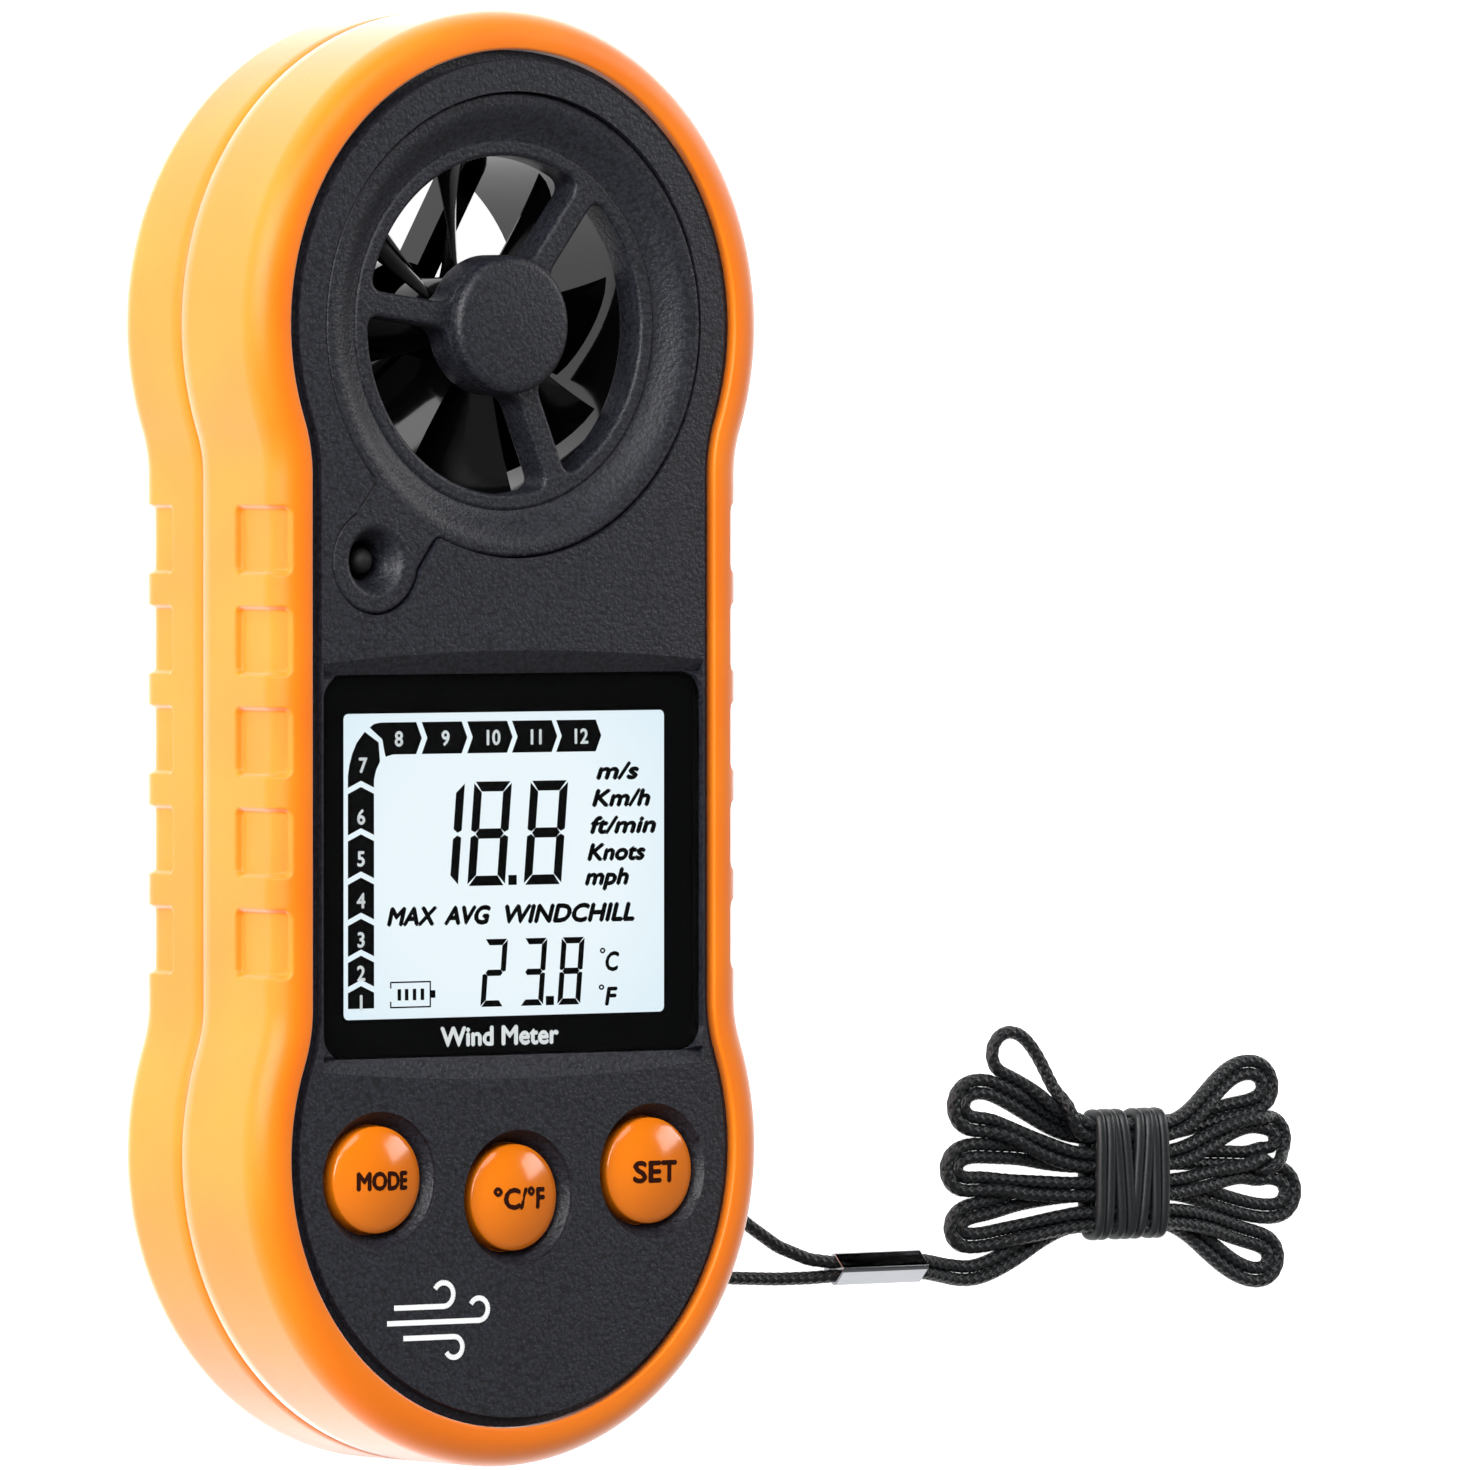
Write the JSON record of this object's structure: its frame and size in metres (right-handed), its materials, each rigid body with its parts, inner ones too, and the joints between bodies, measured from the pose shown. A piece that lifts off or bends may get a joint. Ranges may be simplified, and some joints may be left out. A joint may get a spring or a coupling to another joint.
{
  "type": "handheld vane weather meter",
  "caption": "Pocket weather meter with a ducted vane wheel, display, domed buttons, grip recesses on its long edges and a folded cord lanyard.",
  "frame": {"origin": "middle of the body on the surface it lies on, back down", "axes": "+Z out of the display face, +Y towards the fan, +X to the right of the display"},
  "size_m": [0.1102, 0.105, 0.0185],
  "materials": {
    "orange_shell": "satin moulded, soft touch",
    "dark_grained": "fine moulded grain",
    "black_gloss": "polished mould",
    "black_plastic": "satin",
    "orange_button": "polished",
    "window": "clear with a black printed border",
    "lcd": "pale display",
    "diffuser": "white",
    "led": "clear",
    "silicone": "matt",
    "adhesive": "matt",
    "board": "solder mask",
    "components": "matt",
    "steel": "plated",
    "jewel": "polished",
    "brass": "machined",
    "leads": "insulation",
    "sensor_bead": "epoxy",
    "label": "plain film",
    "cord": "braided",
    "ferrule": "polished",
    "tie": "ribbed"
  },
  "bodies": {
    "root": {"front_bumper": "orange_shell", "rear_bumper": "orange_shell", "face_plate": "dark_grained", "back_plate": "dark_grained", "fan_front_guard": "dark_grained", "fan_rear_guard": "dark_grained", "duct_seal": "silicone", "front_jewel": "jewel", "rear_jewel": "jewel", "speed_sensor": "black_plastic", "sensor_leads": "leads", "ntc_thermistor": "sensor_bead", "lcd_window": "window", "window_adhesive": "adhesive", "lcd_panel": "lcd", "lcd_backlight": "diffuser", "backlight_leds": "led", "lcd_frame": "diffuser", "lcd_connector": "silicone", "circuit_board": "board", "board_screws": "steel", "controller_chip": "black_plastic", "memory_chip": "black_plastic", "crystal": "steel", "small_components": "components", "buzzer": "black_plastic", "tact_switches": "steel", "battery_holder": "black_plastic", "coin_cell": "steel", "positive_contact": "steel", "negative_contact": "steel", "door_insert": "brass", "housing_screws": "steel", "rating_label": "label", "lanyard_strand_a": "cord", "lanyard_strand_b": "cord", "lanyard_lead": "cord", "lanyard_hank": "cord", "lanyard_ferrule": "ferrule", "lanyard_tie": "tie"},
    "vane_wheel": {"impeller": "black_gloss", "impeller_shaft": "steel"},
    "mode_key": {"mode_button": "orange_button", "mode_plunger": "black_plastic"},
    "unit_key": {"unit_button": "orange_button", "unit_plunger": "black_plastic"},
    "set_key": {"set_button": "orange_button", "set_plunger": "black_plastic"},
    "door": {"battery_door": "dark_grained"},
    "door_screw": {"battery_door_screw": "steel"}
  },
  "joints": [
    {"name": "vane_spin", "type": "hinge", "parent": "root", "child": "vane_wheel", "pos_m": [0, 0.0298, 0.0096], "axis": [0, 0, 1], "continuous": true},
    {"name": "mode_press", "type": "slide", "parent": "root", "child": "mode_key", "axis": [0, 0, -1], "range_m": [0, 0.0005], "stiffness_N_per_m": 1500},
    {"name": "unit_press", "type": "slide", "parent": "root", "child": "unit_key", "axis": [0, 0, -1], "range_m": [0, 0.0005], "stiffness_N_per_m": 1500},
    {"name": "set_press", "type": "slide", "parent": "root", "child": "set_key", "axis": [0, 0, -1], "range_m": [0, 0.0005], "stiffness_N_per_m": 1500},
    {"name": "door_lift", "type": "slide", "parent": "root", "child": "door", "axis": [0, 0, -1], "range_m": [0, 0.012]},
    {"name": "door_screw_turn", "type": "hinge", "parent": "door", "child": "door_screw", "pos_m": [0, -0.0151, 0.002], "axis": [0, 0, 1], "continuous": true}
  ]
}
